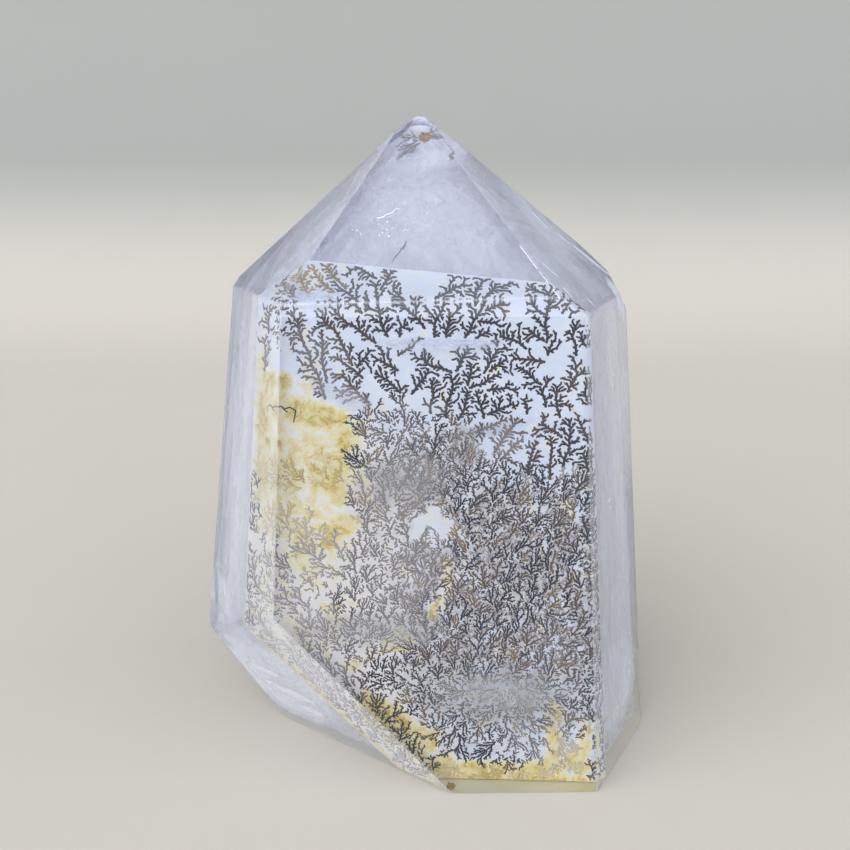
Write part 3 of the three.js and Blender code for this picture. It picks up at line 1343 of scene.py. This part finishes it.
def make_marks(dark, bright):
    """The rusty spot with its feathery fringe under the tip, the thin lines, of which the bright ones glow as
    painted highlights, and a spot at the foot.
    """
    tip = Colony(below_facet((-0.5, 2.15, 64.85), 0.5), 3, 2)
    tufts = []
    for u, v, heading, length in TIP_FRINGE:
        tufts.append(tip.plant(u, v, math.radians(heading), length, 0.9, 0.42, 0.36))
    tip.grow(tufts)
    make_dendrites("tip_fringe", tip, dark, (), lambda u, v: 0.12)
    rust = rust_material()
    blot("tip_spot", below_facet((-0.45, 2.15, 64.9), 0.4), 0.74, rust)
    worn_edge = Sheet((12.05, -10.44, 50.99), (0.0, -0.755, 0.656))
    make_lines("tip_crack", below_facet((-2.9, -7.2, 55.2), 0.4), CRACK, 0.5, 0.1, dark, LEAST_LOAD)
    # The bright lines below glow white: painted highlights, not lit by any lamp.
    make_lines("tip_hairline", below_facet((-4.0, -4.0, 58.0), 0.5), HAIRLINE, 0.3, 1.0, bright)
    make_lines("edge_glint", worn_edge, EDGE_GLINT, 0.35, 1.0, bright)
    make_lines("slope_streak_highlights", below_facet((15.5, -2.6, 53.3), 0.3), SLOPE_STREAK_HIGHLIGHTS, 0.3, 1.0, bright)
    blot("foot_spot", below_facet((2.2, -14.9, 0.7), 0.3), 0.5, rust)


def make_lines(name, sheet, lines, grain, shade, material, least_load=2):
    """Thin lines on a sheet, as one piece."""
    colony = Colony(sheet, 0, least_load)
    for line in lines:
        draw_line(colony, line, grain, shade)
    make_dendrites(name, colony, material)


# Stage, lights and camera


def floor_material():
    shader = Shader("plain_floor")
    tone = shader.noise(30, detail=4)
    height = shader.add("ShaderNodeSeparateXYZ")
    shader.join(shader.places(), height.inputs["Vector"])
    floor = shader.mix(tone, (0.43, 0.40, 0.345), (0.45, 0.415, 0.36))
    wall = shader.mix(tone, (0.215, 0.222, 0.2), (0.225, 0.231, 0.208))
    shader.colour(shader.mix(shader.stretch(height.outputs["Z"], 0.0, 0.06), floor, wall))
    shader.set(Roughness=0.85)
    return shader.material


FLOOR_BELOW = 0.03


def make_stage():
    """A level floor that sweeps up softly into the backdrop."""
    half_width = 4000
    front = -4000
    bend_start = 160
    bend_radius = 260
    bend_steps = 24
    top = 4000
    profile = [(front, 0.0), (-200.0, 0.0), (bend_start, 0.0)]
    for k in range(1, bend_steps + 1):
        angle = math.pi / 2 * k / bend_steps
        profile.append((bend_start + bend_radius * math.sin(angle), bend_radius * (1 - math.cos(angle))))
    profile.append((bend_start + bend_radius, top))
    vertices = []
    for y, z in profile:
        vertices.extend(mm((x, y, z - FLOOR_BELOW)) for x in (-half_width, half_width))
    faces = [(2 * k, 2 * k + 1, 2 * k + 3, 2 * k + 2) for k in range(len(profile) - 1)]
    mesh = bpy.data.meshes.new("floor")
    mesh.from_pydata(vertices, [], faces)
    mesh.shade_smooth()
    mesh.materials.append(floor_material())
    stage = bpy.data.objects.new("floor", mesh)
    bpy.context.scene.collection.objects.link(stage)


def make_world():
    """Soft light from all round, brighter low in front, and a plain backdrop where the floor ends."""
    world = bpy.data.worlds.new("soft_room")
    bpy.context.scene.world = world
    world.use_nodes = True
    sky = Nodes(world.node_tree)
    way = sky.add("ShaderNodeTexCoord").outputs["Generated"]
    split = sky.add("ShaderNodeSeparateXYZ")
    sky.join(way, split.inputs["Vector"])
    light = sky.tree.nodes["Background"]
    sky.join(sky.ramp(split.outputs["Z"], SKY_COLOURS), light.inputs["Color"])
    sky.join(world_strength(sky, way), light.inputs["Strength"])
    backdrop = sky.add("ShaderNodeBackground", Color=(0.70, 0.685, 0.64, 1.0))
    either = sky.add("ShaderNodeMixShader")
    sky.join(sky.add("ShaderNodeLightPath").outputs["Is Camera Ray"], either.inputs["Fac"])
    sky.join(light.outputs["Background"], either.inputs[1])
    sky.join(backdrop.outputs["Background"], either.inputs[2])
    sky.join(either.outputs["Shader"], sky.tree.nodes["World Output"].inputs["Surface"])


def world_strength(sky, way):
    """The even part of the world's light and the broad glows added to it."""
    total = EVEN_LIGHT
    for towards, strength in GLOWS:
        facing = sky.add("ShaderNodeVectorMath", operation="DOT_PRODUCT")
        facing.inputs[1].default_value = Vector(towards).normalized()
        sky.join(way, facing.inputs[0])
        glow = sky.math("POWER", sky.math("MAXIMUM", facing.outputs["Value"], 0.0), GLOW_FOCUS)
        total = sky.math("MULTIPLY_ADD", glow, strength, total)
    return total


# The light's colour at the horizon and overhead
SKY_COLOURS = [(0.0, (1.0, 1.02, 1.09)), (1.0, (0.66, 0.69, 0.77))]
EVEN_LIGHT = 1.52
# Where each broad glow comes from, and how strong it is
GLOWS = [
    ((-0.66, -0.70, 0.18), 3.0),
    ((0.75, -0.60, 0.28), 1.0),
]
GLOW_FOCUS = 3


def soft_light(name, place, size, power, colour):
    """A square soft light that looks at the middle of the crystal."""
    data = bpy.data.lights.new(name, "AREA")
    data.size = size * MM
    data.energy = power
    data.color = colour
    light = bpy.data.objects.new(name, data)
    bpy.context.scene.collection.objects.link(light)
    light.location = mm(place)
    light.rotation_euler = (mm((0, 0, 30)) - light.location).to_track_quat("-Z", "Y").to_euler()


def make_camera():
    data = bpy.data.cameras.new("camera")
    data.sensor_width = SENSOR_WIDTH
    data.lens = SENSOR_WIDTH * FOCAL_PIXELS / PICTURE_SIDE
    data.clip_start = 0.01
    camera = bpy.data.objects.new("camera", data)
    bpy.context.scene.collection.objects.link(camera)
    camera.location = mm(CAMERA_PLACE)
    camera.rotation_euler = (math.radians(90 - CAMERA_TILT_DOWN), 0, 0)
    bpy.context.scene.camera = camera


def set_view():
    scene = bpy.context.scene
    scene.view_settings.view_transform = "Standard"
    scene.cycles.max_bounces = 14
    scene.cycles.transmission_bounces = 12
    scene.cycles.transparent_max_bounces = 20
    scene.cycles.glossy_bounces = 6
    scene.cycles.diffuse_bounces = 3


FRACTURE = fracture_sheet()
HULL = outer_hull()
FACETS = facet_planes(HULL)
SLANT = min(FACETS, key=lambda facet: (facet[0] - Vector((-0.51, -0.76, -0.41))).length)

bubbles = veil_material()
make_milk(bubbles)
make_quartz(HULL)
oxide = dendrite_material()
colony = Colony(FRACTURE, 11)
for line in SQUIGGLE:
    draw_line(colony, line, 0.55, 0.3)
grow_great_fronds(colony)
grow_waves(colony, SMALL_WAVES, small_wanted)
make_dendrites("dendrites", colony, oxide, ("dendrite_film",), pale_at)
deep_colony = Colony(Sheet(FRACTURE.place(0, 0, -DEEP_LAYER), FRACTURE.out), 12)
grow_waves(deep_colony, DEEP_WAVES, deep_wanted)
make_dendrites("deep_dendrites", deep_colony, oxide, (), deep_paleness)
cut_sheet("fracture_ground", FRACTURE, 0.4, -GROUND_LAYER, ground_material(), {
    "stain": stain_at,
    "grey": grey_at,
    "warm": warm_at,
    "cover": lambda u, v: 0.93,
})
cut_sheet("fracture_haze", FRACTURE, 0.5, HAZE_LAYER, haze_material(), {
    "cover": haze_at,
    "grey": lambda u, v: clamped((41.0 - v) / 3.0),
})
make_veils(bubbles)
glow_glint = glowing_glint_material()
make_flakes(glow_glint)
make_marks(oxide, glow_glint)
make_stage()
make_world()
soft_light("overhead", (-900, -900, 1300), 1400, 8.0, (1.0, 0.99, 0.97))
make_camera()
set_view()
